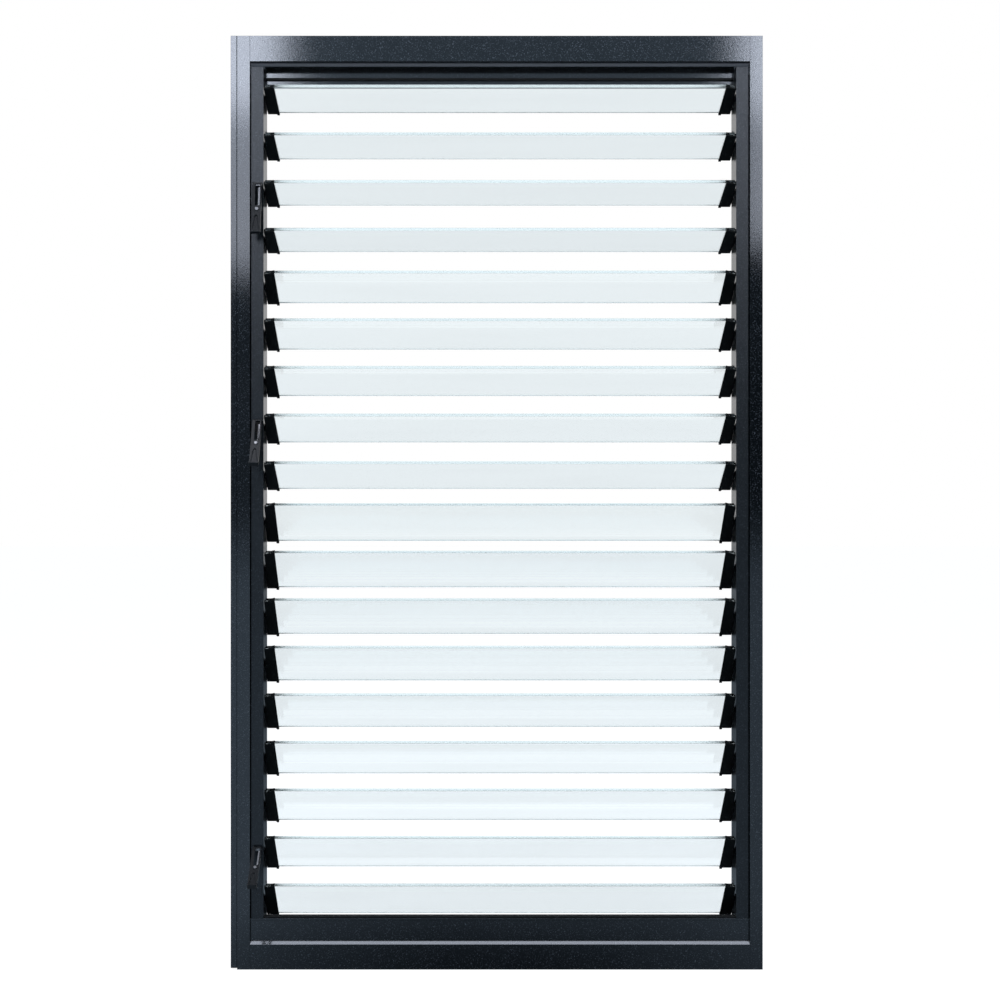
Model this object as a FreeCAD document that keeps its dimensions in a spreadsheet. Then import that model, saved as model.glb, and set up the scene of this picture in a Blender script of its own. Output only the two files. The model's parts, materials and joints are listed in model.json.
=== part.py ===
import FreeCAD, Part
import Sketcher
import os

# Jalousie window: a louvre frame with three banks of tilting glass blades.
# X runs to the right seen from the room, Y runs from the room to the outside, Z runs up.
# The origin is the centre of the sill's underside. All sizes are in millimetres and degrees.

doc = FreeCAD.newDocument("jalousie_window")
sheet = doc.addObject("Spreadsheet::Sheet", "Sizes")

SIZES = [
    ("frame_width", 985.0),
    ("frame_depth", 100.0),
    ("jamb_face", 24.0),
    ("wall", 2.0),
    ("strip_face", 12.0),
    ("strip_lift", 3.0),
    ("strip_groove", 1.0),
    ("groove_depth", 1.0),
    ("head_face", 48.0),
    ("head_gap", 12.0),
    ("head_lip_drop", 8.0),
    ("head_lip_thick", 2.5),
    ("stop_thick", 2.5),
    ("stop_behind_pivot", 1.5),
    ("stop_drop", 23.0),
    ("stop_spread", 8.0),
    ("rear_fin_drop", 37.8),
    ("sill_face", 47.0),
    ("sill_chamfer", 5.2),
    ("sill_shoulder_depth", 10.0),
    ("upstand_clear", 6.5),
    ("upstand_top", 94.0),
    ("nosing_drop", 4.0),
    ("nosing_out", 1.0),
    ("sill_slope_top", 60.0),
    ("sill_slope_foot", 40.0),
    ("sill_slope_wall", 3.0),
    ("gallery_setback", 8.5),
    ("gallery_width", 24.5),
    ("gallery_depth", 60.0),
    ("gallery_jamb_gap", 1.2),
    ("gallery_foot", 13.5),
    ("pivot_setback", 33.5),
    ("sill_lap", 19.0),
    ("glass_width", 102.0),
    ("blade_lap", 13.0),
    ("glass_thick", 6.0),
    ("glass_end_gap", 0.5),
    ("glass_arris", 1.0),
    ("clip_web_gap", 3.0),
    ("clip_boss_gap", 0.5),
    ("clip_boss_front", 9.0),
    ("clip_reach", 19.8),
    ("clip_wall", 2.5),
    ("clip_base", 2.7),
    ("clip_lip_gap", 0.2),
    ("clip_lip_thick", 2.0),
    ("clip_lip_half", 30.0),
    ("clip_ramp", 6.0),
    ("clip_lip_reach", 10.0),
    ("clip_tab_reach", 7.0),
    ("clip_tab_thick", 3.2),
    ("clip_tab_rise", 1.5),
    ("clip_tab_gap", 0.3),
    ("clip_front_trim", 3.0),
    ("clip_nub_reach", 5.0),
    ("clip_nub_thick", 4.0),
    ("pivot_radius", 5.0),
    ("pivot_clearance", 0.1),
    ("pivot_tail", 4.0),
    ("pivot_flat_half", 2.5),
    ("open_tilt", 5.0),
    ("upper_tilt", 15.0),
    ("middle_tilt", 27.0),
    ("lower_tilt", 42.0),
    ("handle_turn_ratio", 1.5),
    ("handle_hinge_rise", 10.0),
    ("handle_hinge_out", 8.0),
    ("handle_side_gap", 5.0),
    ("handle_width", 17.5),
    ("handle_length", 100.0),
    ("handle_round", 5.5),
    ("handle_plate", 2.0),
    ("handle_bridge", 2.5),
    ("handle_cheek", 2.0),
    ("handle_back", 1.5),
    ("handle_grip_start", 58.0),
    ("handle_grip_plate", 4.0),
    ("handle_end_wall", 5.0),
    ("handle_lip_out", 6.0),
    ("handle_lip_thick", 2.2),
    ("handle_slot_width", 8.6),
    ("handle_slot_shift", 1.7),
    ("handle_slot_top", 1.0),
    ("handle_slot_length", 43.0),
    ("recess_top", 64.0),
    ("recess_bottom", 91.0),
    ("recess_top_half", 2.5),
    ("recess_bottom_half", 6.0),
    ("recess_depth", 2.0),
    ("rivet_drop", 51.0),
    ("rivet_shift", 1.1),
    ("rivet_radius", 3.2),
    ("rivet_clearance", 0.1),
    ("rivet_proud", 1.4),
    ("insert_top", 7.0),
    ("insert_foot_top", 46.5),
    ("insert_bottom", 56.0),
    ("insert_thick", 1.5),
    ("insert_foot_left", 3.2),
    ("insert_leg_left", 2.9),
    ("insert_right", 6.5),
    ("bracket_pin_radius", 1.8),
    ("bracket_pin_clearance", 0.05),
    ("bracket_knuckle", 2.3),
    ("bracket_stem_rise", 0.8),
    ("bracket_side_gap", 1.0),
    ("keeper_drop", 80.0),
    ("keeper_width", 14.0),
    ("keeper_height", 17.0),
    ("keeper_thick", 1.5),
    ("keeper_slot_width", 6.0),
    ("keeper_slot_height", 8.0),
]

for row, (word, number) in enumerate(SIZES, start=1):
    sheet.set("A%d" % row, word)
    sheet.set("B%d" % row, str(number))
    sheet.setAlias("B%d" % row, word)
doc.recompute()


class Dim:
    """A length that carries its present value and the expression that keeps it tied to the sheet."""

    def __init__(self, value, text):
        self.value = value
        self.text = text

    def __add__(self, other):
        other = as_dim(other)
        return Dim(self.value + other.value, "(%s + %s)" % (self.text, other.text))

    def __sub__(self, other):
        other = as_dim(other)
        return Dim(self.value - other.value, "(%s - %s)" % (self.text, other.text))

    def __mul__(self, other):
        other = as_dim(other)
        return Dim(self.value * other.value, "(%s * %s)" % (self.text, other.text))

    def __truediv__(self, other):
        other = as_dim(other)
        return Dim(self.value / other.value, "(%s / %s)" % (self.text, other.text))

    def __neg__(self):
        return Dim(-self.value, "(0 - %s)" % self.text)


def as_dim(item):
    if isinstance(item, Dim):
        return item
    return Dim(float(item), "%s" % float(item))


def size(word):
    return Dim(float(sheet.get(word)), "Sizes.%s" % word)


def new_body(label):
    body = doc.addObject("PartDesign::Body", label)
    body.Label = label
    return body


def new_sketch(body, name, plane, offset=None):
    """A sketch on one of the body's own planes, moved along the plane's normal by the offset."""
    sketch = body.newObject("Sketcher::SketchObject", name)
    support = [f for f in body.Origin.OriginFeatures if f.Role == plane][0]
    sketch.AttachmentSupport = [(support, "")]
    sketch.MapMode = "FlatFace"
    if offset is not None:
        sketch.AttachmentOffset = FreeCAD.Placement(FreeCAD.Vector(0, 0, offset.value), FreeCAD.Rotation())
        sketch.setExpression("AttachmentOffset.Base.z", offset.text)
    return sketch


def pin_point(sketch, geometry, point, across, up):
    """Ties one point of the sketch to the sheet by its distances from the sketch origin."""
    for kind, dim in (("DistanceX", across), ("DistanceY", up)):
        if abs(dim.value) < 1e-9:
            axis = -2 if kind == "DistanceX" else -1
            sketch.addConstraint(Sketcher.Constraint("PointOnObject", geometry, point, axis))
            continue
        if dim.value > 0:
            index = sketch.addConstraint(Sketcher.Constraint(kind, -1, 1, geometry, point, dim.value))
            sketch.setExpression("Constraints[%d]" % index, dim.text)
        else:
            flipped = -dim
            index = sketch.addConstraint(Sketcher.Constraint(kind, geometry, point, -1, 1, flipped.value))
            sketch.setExpression("Constraints[%d]" % index, flipped.text)


def add_loop(sketch, points):
    """A closed polygon through the points, each point tied to the sheet."""
    points = [(as_dim(a), as_dim(b)) for a, b in points]
    first = sketch.GeometryCount
    total = len(points)
    for i in range(total):
        a = points[i]
        b = points[(i + 1) % total]
        start = FreeCAD.Vector(a[0].value, a[1].value, 0)
        end = FreeCAD.Vector(b[0].value, b[1].value, 0)
        sketch.addGeometry(Part.LineSegment(start, end), False)
    for i in range(total):
        here = first + i
        after = first + (i + 1) % total
        sketch.addConstraint(Sketcher.Constraint("Coincident", here, 2, after, 1))
    for i in range(total):
        pin_point(sketch, first + i, 1, points[i][0], points[i][1])


def add_circle(sketch, across, up, radius):
    across = as_dim(across)
    up = as_dim(up)
    centre = FreeCAD.Vector(across.value, up.value, 0)
    index = sketch.addGeometry(Part.Circle(centre, FreeCAD.Vector(0, 0, 1), radius.value), False)
    pin_point(sketch, index, 3, across, up)
    tie = sketch.addConstraint(Sketcher.Constraint("Radius", index, radius.value))
    sketch.setExpression("Constraints[%d]" % tie, radius.text)


def rectangle(left, right, low, high):
    return [(left, low), (right, low), (right, high), (left, high)]


def pad(body, sketch, length, both_ways=False):
    feature = body.newObject("PartDesign::Pad", sketch.Name + "_pad")
    feature.Profile = sketch
    feature.Length = length.value
    feature.setExpression("Length", length.text)
    if both_ways:
        feature.Midplane = True
    doc.recompute()
    return feature


def cut_through(body, sketch):
    feature = body.newObject("PartDesign::Pocket", sketch.Name + "_cut")
    feature.Profile = sketch
    feature.Type = "ThroughAll"
    feature.Midplane = True
    doc.recompute()
    return feature


def cut_to(body, sketch, length, both_ways=False, backwards=False):
    feature = body.newObject("PartDesign::Pocket", sketch.Name + "_cut")
    feature.Profile = sketch
    feature.Length = length.value
    feature.setExpression("Length", length.text)
    feature.Midplane = both_ways
    feature.Reversed = backwards
    doc.recompute()
    return feature


# Blades are numbered from the top, and each belongs to the upper, middle or lower bank.
BANKS = ["upper", "middle", "lower"]
BLADE_BANKS = ["upper"] * 4 + ["middle"] * 5 + ["lower"] * 9
BLADES = len(BLADE_BANKS)

wall = size("wall")
half_width = size("frame_width") / 2
front = -(size("frame_depth") / 2)
back = size("frame_depth") / 2
jamb_inner = half_width - size("jamb_face")
gallery_inner = jamb_inner - size("gallery_width")
inside_length = jamb_inner * 2
half_glass = size("glass_width") / 2
half_thick = size("glass_thick") / 2
pitch = size("glass_width") - size("blade_lap")
pivot_y = front + size("pivot_setback")
first_pivot = size("upstand_top") + half_glass - size("sill_lap")
top_pivot = first_pivot + pitch * (BLADES - 1)
head_under = top_pivot + half_glass + size("head_gap")
height = head_under + size("head_face")

NODES = []

# Jambs: two-cell hollow extrusions that run the full height, with open ends.
for side, name in ((-1, "left_jamb"), (1, "right_jamb")):
    body = new_body(name)
    profile = new_sketch(body, name + "_profile", "XY_Plane")
    low = jamb_inner
    high = half_width
    if side < 0:
        low = -half_width
        high = -jamb_inner
    add_loop(profile, rectangle(low, high, front, back))
    add_loop(profile, rectangle(low + wall, high - wall, front + wall, -(wall / 2)))
    add_loop(profile, rectangle(low + wall, high - wall, wall / 2, back - wall))
    pad(body, profile, height)
    NODES.append(body)

# Edge strip: a narrow hollow section fixed to the left jamb's outer side, a little shorter at its foot.
body = new_body("left_edge_strip")
outer = -half_width - size("strip_face")
groove = -half_width - size("strip_groove")
shoulder = front + size("groove_depth")
profile = new_sketch(body, "strip_profile", "XY_Plane", size("strip_lift"))
add_loop(profile, [
    (outer, front),
    (groove, front),
    (groove, shoulder),
    (-half_width, shoulder),
    (-half_width, back),
    (outer, back),
])
add_loop(profile, rectangle(outer + wall, -half_width - wall, shoulder + wall, back - wall))
pad(body, profile, height - size("strip_lift"))
NODES.append(body)

# Head: a hollow box between the jambs, with a lip that covers the tops of the galleries.
lip_foot = head_under - size("head_lip_drop")
gallery_face = front + size("gallery_setback")
body = new_body("head")
profile = new_sketch(body, "head_profile", "YZ_Plane")
add_loop(profile, [
    (front, head_under),
    (gallery_face, head_under),
    (gallery_face, lip_foot),
    (gallery_face + size("head_lip_thick"), lip_foot),
    (gallery_face + size("head_lip_thick"), head_under),
    (back, head_under),
    (back, height),
    (front, height),
])
add_loop(profile, rectangle(front + wall, back - wall, head_under + wall, height - wall))
pad(body, profile, inside_length, both_ways=True)
NODES.append(body)

# Head stop: an inverted channel under the head, between the galleries, that the top blade closes against.
stop_length = gallery_inner * 2
stop_front = pivot_y + size("stop_behind_pivot")
stop_rear = stop_front + size("stop_spread")
stop_thick = size("stop_thick")
body = new_body("head_stop")
profile = new_sketch(body, "head_stop_profile", "YZ_Plane")
add_loop(profile, [
    (stop_front, head_under),
    (stop_front, head_under - size("stop_drop")),
    (stop_front + stop_thick, head_under - size("stop_drop")),
    (stop_front + stop_thick, head_under - stop_thick),
    (stop_rear - stop_thick, head_under - stop_thick),
    (stop_rear - stop_thick, head_under - size("rear_fin_drop")),
    (stop_rear, head_under - size("rear_fin_drop")),
    (stop_rear, head_under),
])
pad(body, profile, stop_length, both_ways=True)
NODES.append(body)

# Sill: a three-cell extrusion with an upstand on the room side and a slope that sheds water outward.
upstand_front = front + size("sill_shoulder_depth")
upstand_rear = pivot_y - size("upstand_clear")
upstand_top = size("upstand_top")
shoulder_top = size("sill_face") + size("sill_chamfer")
slope_top = size("sill_slope_top")
slope_foot = size("sill_slope_foot")
floor_top = size("sill_face") - wall
body = new_body("sill")
profile = new_sketch(body, "sill_profile", "YZ_Plane")
nosing_foot = upstand_top - size("nosing_drop")
add_loop(profile, [
    (front, 0),
    (back, 0),
    (back, slope_foot),
    (upstand_rear, slope_top),
    (upstand_rear, upstand_top),
    (upstand_front - size("nosing_out"), upstand_top),
    (upstand_front - size("nosing_out"), nosing_foot),
    (upstand_front, nosing_foot),
    (upstand_front, shoulder_top),
    (front + size("sill_chamfer"), shoulder_top),
    (front, size("sill_face")),
])
slope = (slope_top - slope_foot) / (back - upstand_rear)
inner_slope_top = slope_top - size("sill_slope_wall")
bend = upstand_rear + (inner_slope_top - floor_top) / slope
add_loop(profile, [
    (front + wall, wall),
    (back - wall, wall),
    (back - wall, slope_foot + slope * wall - size("sill_slope_wall")),
    (bend, floor_top),
    (front + wall, floor_top),
])
web_top = floor_top + wall
add_loop(profile, rectangle(upstand_front + wall, upstand_rear - wall, web_top, upstand_top - wall))
add_loop(profile, [
    (upstand_rear, web_top),
    (upstand_rear + (inner_slope_top - web_top) / slope, web_top),
    (upstand_rear, inner_slope_top),
])
pad(body, profile, inside_length, both_ways=True)
NODES.append(body)

# Galleries: channels on the jambs' inner sides. The web is bored for the blades' pivots.
gallery_rear = gallery_face + size("gallery_depth")
gallery_lip = jamb_inner - size("gallery_jamb_gap")
bore = size("pivot_radius") + size("pivot_clearance")
for side, name in ((-1, "left_gallery"), (1, "right_gallery")):
    body = new_body(name)
    profile = new_sketch(body, name + "_profile", "XY_Plane", upstand_top)
    outline = [
        (gallery_lip, gallery_face),
        (gallery_inner, gallery_face),
        (gallery_inner, gallery_rear),
        (jamb_inner, gallery_rear),
        (jamb_inner, gallery_rear - size("gallery_foot")),
        (jamb_inner - wall, gallery_rear - size("gallery_foot")),
        (jamb_inner - wall, gallery_rear - wall),
        (gallery_inner + wall, gallery_rear - wall),
        (gallery_inner + wall, gallery_face + wall),
        (gallery_lip, gallery_face + wall),
    ]
    if side < 0:
        outline = [(-a, b) for a, b in outline]
    add_loop(profile, outline)
    pad(body, profile, lip_foot - upstand_top)
    holes = new_sketch(body, name + "_bore", "YZ_Plane")
    add_circle(holes, pivot_y, first_pivot, bore)
    first_bore = cut_through(body, holes)
    row = body.newObject("PartDesign::LinearPattern", name + "_bores")
    row.Originals = [first_bore]
    up_axis = [f for f in body.Origin.OriginFeatures if f.Role == "Z_Axis"][0]
    row.Direction = (up_axis, [""])
    row.Length = (top_pivot - first_pivot).value
    row.setExpression("Length", (pitch * (BLADES - 1)).text)
    row.Occurrences = BLADES
    body.Tip = row
    doc.recompute()
    NODES.append(body)

# One glass blade about its pivot line: flat glass with arrised edges.
arris = size("glass_arris")
clip_outer = -(gallery_inner - size("clip_web_gap"))
clip_inner = clip_outer + size("clip_reach")
glass_end = -(clip_outer + size("clip_wall") + size("glass_end_gap"))
glass = new_body("glass_pattern")
profile = new_sketch(glass, "glass_profile", "YZ_Plane")
add_loop(profile, [
    (-half_glass + arris, -half_thick),
    (half_glass - arris, -half_thick),
    (half_glass, -half_thick + arris),
    (half_glass, half_thick - arris),
    (half_glass - arris, half_thick),
    (-half_glass + arris, half_thick),
    (-half_glass, half_thick - arris),
    (-half_glass, -half_thick + arris),
])
pad(glass, profile, glass_end * 2, both_ways=True)

# One left clip about its pivot line: end wall, base, upper lip, front tab, rear nub and pivot.
# A boss thickens the wall from the pivot to the rear, and the front end slants to a point.
base_foot = -half_thick - size("clip_base")
lip_low = half_thick + size("clip_lip_gap")
lip_high = lip_low + size("clip_lip_thick")
tab_near = half_glass + size("clip_tab_gap")
tab_far = tab_near + size("clip_tab_thick")
root_in = half_glass - size("clip_tab_thick")
clip = new_body("left_clip_pattern")
profile = new_sketch(clip, "clip_wall_profile", "YZ_Plane", clip_outer)
lip_half = size("clip_lip_half")
ramp_end = lip_half + size("clip_ramp")
add_loop(profile, [
    (-half_glass, base_foot),
    (half_glass, base_foot),
    (half_glass, size("clip_tab_rise")),
    (ramp_end, size("clip_tab_rise")),
    (lip_half, lip_high),
    (-lip_half, lip_high),
    (-ramp_end, size("clip_tab_rise")),
    (-half_glass, size("clip_tab_rise")),
])
pad(clip, profile, size("clip_wall"))
profile = new_sketch(clip, "clip_base_profile", "YZ_Plane", clip_outer)
add_loop(profile, rectangle(-half_glass, half_glass, base_foot, -half_thick))
pad(clip, profile, size("clip_reach"))
profile = new_sketch(clip, "clip_lip_profile", "YZ_Plane", clip_outer)
add_loop(profile, rectangle(-lip_half, lip_half, lip_low, lip_high))
pad(clip, profile, size("clip_wall") + size("clip_lip_reach"))
nub_far = tab_near + size("clip_nub_thick")
for side, name, reach, far in ((-1, "clip_tab", size("clip_tab_reach"), tab_far),
                               (1, "clip_nub", size("clip_nub_reach"), nub_far)):
    profile = new_sketch(clip, name + "_profile", "YZ_Plane", clip_inner - reach)
    hook = [
        (root_in, base_foot),
        (far, base_foot),
        (far, size("clip_tab_rise")),
        (tab_near, size("clip_tab_rise")),
        (tab_near, -half_thick),
        (root_in, -half_thick),
    ]
    if side < 0:
        hook = [(-a, b) for a, b in hook]
    add_loop(profile, hook)
    pad(clip, profile, reach)
boss_end = gallery_inner - size("clip_boss_gap")
profile = new_sketch(clip, "clip_boss_profile", "YZ_Plane", -boss_end)
boss_front = -size("clip_boss_front")
add_loop(profile, [
    (boss_front, base_foot),
    (half_glass, base_foot),
    (half_glass, size("clip_tab_rise")),
    (ramp_end, size("clip_tab_rise")),
    (lip_half, lip_high),
    (boss_front, lip_high),
])
pad(clip, profile, boss_end + clip_outer + size("clip_wall") / 2)
pivot_end = gallery_inner + wall + size("pivot_tail")
profile = new_sketch(clip, "clip_pivot_profile", "YZ_Plane", -pivot_end)
add_circle(profile, 0, 0, size("pivot_radius"))
pad(clip, profile, pivot_end + clip_outer + size("clip_wall") / 2)
profile = new_sketch(clip, "clip_pivot_flats", "YZ_Plane", -pivot_end)
beyond = size("pivot_radius") * 2
flat_half = size("pivot_flat_half")
add_loop(profile, rectangle(flat_half, beyond, -beyond, beyond))
add_loop(profile, rectangle(-beyond, -flat_half, -beyond, beyond))
cut_to(clip, profile, pivot_end - boss_end, backwards=True)
profile = new_sketch(clip, "clip_front_slant", "XY_Plane")
add_loop(profile, [
    (clip_outer, size("clip_front_trim") - half_glass),
    (clip_inner, -tab_far),
    (clip_outer, -tab_far),
])
cut_through(clip, profile)

mirror = doc.addObject("Part::Mirroring", "right_clip_pattern")
mirror.Source = clip
mirror.Normal = FreeCAD.Vector(1, 0, 0)
doc.recompute()


def placed(label, pieces, height_dim, depth_dim, turn):
    """The pieces as one node, raised to their line and turned about X, room-side edge upward."""
    node = doc.addObject("Part::Compound", label)
    node.Label = label
    node.Links = pieces
    spin = FreeCAD.Rotation(FreeCAD.Vector(-1, 0, 0), turn.value)
    node.Placement = FreeCAD.Placement(FreeCAD.Vector(0, depth_dim.value, height_dim.value), spin)
    node.setExpression("Placement.Base.y", depth_dim.text)
    node.setExpression("Placement.Base.z", height_dim.text)
    node.setExpression("Placement.Rotation.Angle", turn.text)
    NODES.append(node)
    return node


def pivot_height(number):
    return first_pivot + pitch * (BLADES - number)


# Each bank of blades has its own tilt below the horizontal.
for number, bank in enumerate(BLADE_BANKS, start=1):
    tilt = size(bank + "_tilt")
    placed("blade_%02d_glass" % number, [glass], pivot_height(number), pivot_y, tilt)
    placed("blade_%02d_clips" % number, [clip, mirror], pivot_height(number), pivot_y, tilt)

# One handle about its hinge line: a channel lever that hangs down, with a slot, a thumb recess
# and an end lip.
handle_left = -(jamb_inner - size("handle_side_gap"))
handle_mid = handle_left + size("handle_width") / 2
handle_foot = -size("handle_length")
plate_front = -size("handle_round")
lip_front = plate_front - size("handle_lip_out")
grip_start = -size("handle_grip_start")
hinge_y = gallery_face - size("handle_hinge_out")
handle = new_body("handle_pattern")
profile = new_sketch(handle, "handle_side", "YZ_Plane", handle_left)
add_loop(profile, [
    (plate_front, 0),
    (plate_front, handle_foot + size("handle_lip_thick") * 2),
    (lip_front, handle_foot + size("handle_lip_thick")),
    (lip_front, handle_foot),
    (size("handle_back") - size("handle_end_wall") / 2, handle_foot),
    (size("handle_back"), handle_foot + size("handle_end_wall")),
    (size("handle_back"), grip_start),
    (size("handle_round"), 0),
])
pad(handle, profile, size("handle_width"))
profile = new_sketch(handle, "handle_head", "YZ_Plane", handle_left)
add_circle(profile, 0, 0, size("handle_round"))
pad(handle, profile, size("handle_width"))
inner_left = handle_left + size("handle_cheek")
inner_width = size("handle_width") - size("handle_cheek") * 2
profile = new_sketch(handle, "handle_hollow", "YZ_Plane", inner_left)
hollow_back = size("handle_round") * 2
plate_back = plate_front + size("handle_plate")
grip_back = plate_front + size("handle_grip_plate")
bridge_top = size("handle_bridge")
add_loop(profile, [
    (-hollow_back, hollow_back),
    (-hollow_back, bridge_top),
    (plate_back, bridge_top),
    (plate_back, grip_start),
    (grip_back, grip_start - size("handle_plate")),
    (grip_back, handle_foot + size("handle_end_wall")),
    (hollow_back, handle_foot + size("handle_end_wall")),
    (hollow_back, hollow_back),
])
cut_to(handle, profile, inner_width, backwards=True)
profile = new_sketch(handle, "handle_hinge_hole", "YZ_Plane")
add_circle(profile, 0, 0, size("bracket_pin_radius") + size("bracket_pin_clearance"))
cut_through(handle, profile)
half_slot = size("handle_slot_width") / 2
slot_mid = handle_mid + size("handle_slot_shift")
rivet_mid = handle_mid + size("rivet_shift")
slot_top = -size("handle_slot_top")
slot_foot = slot_top - size("handle_slot_length")
profile = new_sketch(handle, "handle_slot", "XZ_Plane")
add_loop(profile, rectangle(slot_mid - half_slot, slot_mid + half_slot, slot_foot, slot_top))
add_circle(profile, rivet_mid, -size("rivet_drop"), size("rivet_radius") + size("rivet_clearance"))
cut_through(handle, profile)
profile = new_sketch(handle, "handle_recess", "XZ_Plane", -plate_front)
top_half = size("recess_top_half")
foot_half = size("recess_bottom_half")
arch = size("recess_top") + top_half
add_loop(profile, [
    (handle_mid - foot_half, -size("recess_bottom")),
    (handle_mid + foot_half, -size("recess_bottom")),
    (handle_mid + top_half, -arch),
    (handle_mid + top_half / 2, -size("recess_top")),
    (handle_mid - top_half / 2, -size("recess_top")),
    (handle_mid - top_half, -arch),
])
cut_to(handle, profile, size("recess_depth"))

# One steel insert about the same hinge line: an L-shaped strip, seen along one side of the slot,
# with a rivet through the plate.
insert = new_body("insert_pattern")
profile = new_sketch(insert, "insert_strip", "XZ_Plane", -plate_back)
insert_leg = handle_mid + size("insert_leg_left")
insert_right = handle_mid + size("insert_right")
insert_foot = handle_mid - size("insert_foot_left")
add_loop(profile, [
    (insert_leg, -size("insert_top")),
    (insert_leg, -size("insert_foot_top")),
    (insert_foot, -size("insert_foot_top")),
    (insert_foot, -size("insert_bottom")),
    (insert_right, -size("insert_bottom")),
    (insert_right, -size("insert_top")),
])
strip = pad(insert, profile, size("insert_thick"))
strip.Reversed = True
profile = new_sketch(insert, "insert_rivet", "XZ_Plane", -plate_back - size("insert_thick") / 2)
add_circle(profile, rivet_mid, -size("rivet_drop"), size("rivet_radius"))
pad(insert, profile, size("handle_plate") + size("insert_thick") / 2 + size("rivet_proud"))

# Brackets and keepers: fixed pieces on the left gallery's face, one of each for every handle.
bracket = new_body("bracket_pattern")
knuckle_left = inner_left + size("bracket_side_gap")
knuckle_width = inner_width - size("bracket_side_gap") * 2
profile = new_sketch(bracket, "bracket_stem", "YZ_Plane", knuckle_left)
knuckle = size("bracket_knuckle")
stem_top = size("bracket_stem_rise")
add_loop(profile, [
    (-knuckle, -knuckle),
    (size("handle_hinge_out"), -knuckle),
    (size("handle_hinge_out"), stem_top),
    (knuckle, stem_top),
    (knuckle, knuckle),
    (-knuckle, knuckle),
])
pad(bracket, profile, knuckle_width)
profile = new_sketch(bracket, "bracket_pin", "YZ_Plane", handle_left)
add_circle(profile, 0, 0, size("bracket_pin_radius"))
pad(bracket, profile, size("handle_width"))

keeper = new_body("keeper_pattern")
half_keeper = size("keeper_width") / 2
half_hole = size("keeper_slot_width") / 2
keeper_mid = -size("keeper_drop")
profile = new_sketch(keeper, "keeper_plate", "XZ_Plane", -size("handle_hinge_out"))
add_loop(profile, rectangle(
    handle_mid - half_keeper,
    handle_mid + half_keeper,
    keeper_mid - size("keeper_height") / 2,
    keeper_mid + size("keeper_height") / 2,
))
add_loop(profile, rectangle(
    handle_mid - half_hole,
    handle_mid + half_hole,
    keeper_mid - size("keeper_slot_height") / 2,
    keeper_mid + size("keeper_slot_height") / 2,
))
pad(keeper, profile, size("keeper_thick"))


def hinge_height(bank):
    """A handle's hinge lies a little above the pivot of its bank's last blade but one."""
    last = BLADE_BANKS.index(bank) + BLADE_BANKS.count(bank)
    return pivot_height(last - 1) + size("handle_hinge_rise")


for bank in BANKS:
    hinge_z = hinge_height(bank)
    swing = (size(bank + "_tilt") - size("open_tilt")) * size("handle_turn_ratio")
    placed(bank + "_handle", [handle], hinge_z, hinge_y, swing)
    placed(bank + "_handle_insert", [insert], hinge_z, hinge_y, swing)

for label, piece in (("handle_brackets", bracket), ("handle_keepers", keeper)):
    group = []
    for bank in BANKS:
        hinge_z = hinge_height(bank)
        copy = doc.addObject("Part::Compound", "%s_%s_copy" % (bank, label))
        copy.Links = [piece]
        corner = FreeCAD.Vector(0, hinge_y.value, hinge_z.value)
        copy.Placement = FreeCAD.Placement(corner, FreeCAD.Rotation())
        copy.setExpression("Placement.Base.y", hinge_y.text)
        copy.setExpression("Placement.Base.z", hinge_z.text)
        group.append(copy)
    node = doc.addObject("Part::Compound", label)
    node.Label = label
    node.Links = group
    NODES.append(node)

doc.recompute()

for item in doc.Objects:
    if "Invalid" in item.State or "Error" in item.State:
        raise RuntimeError("not built: " + item.Label)
for node in NODES:
    if node.Shape.isNull() or not node.Shape.isValid():
        raise RuntimeError("bad shape: " + node.Label)

os.makedirs("parts", exist_ok=True)
for node in NODES:
    node.Shape.exportStep("parts/%s.step" % node.Label)
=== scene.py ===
import json
import math

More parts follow.
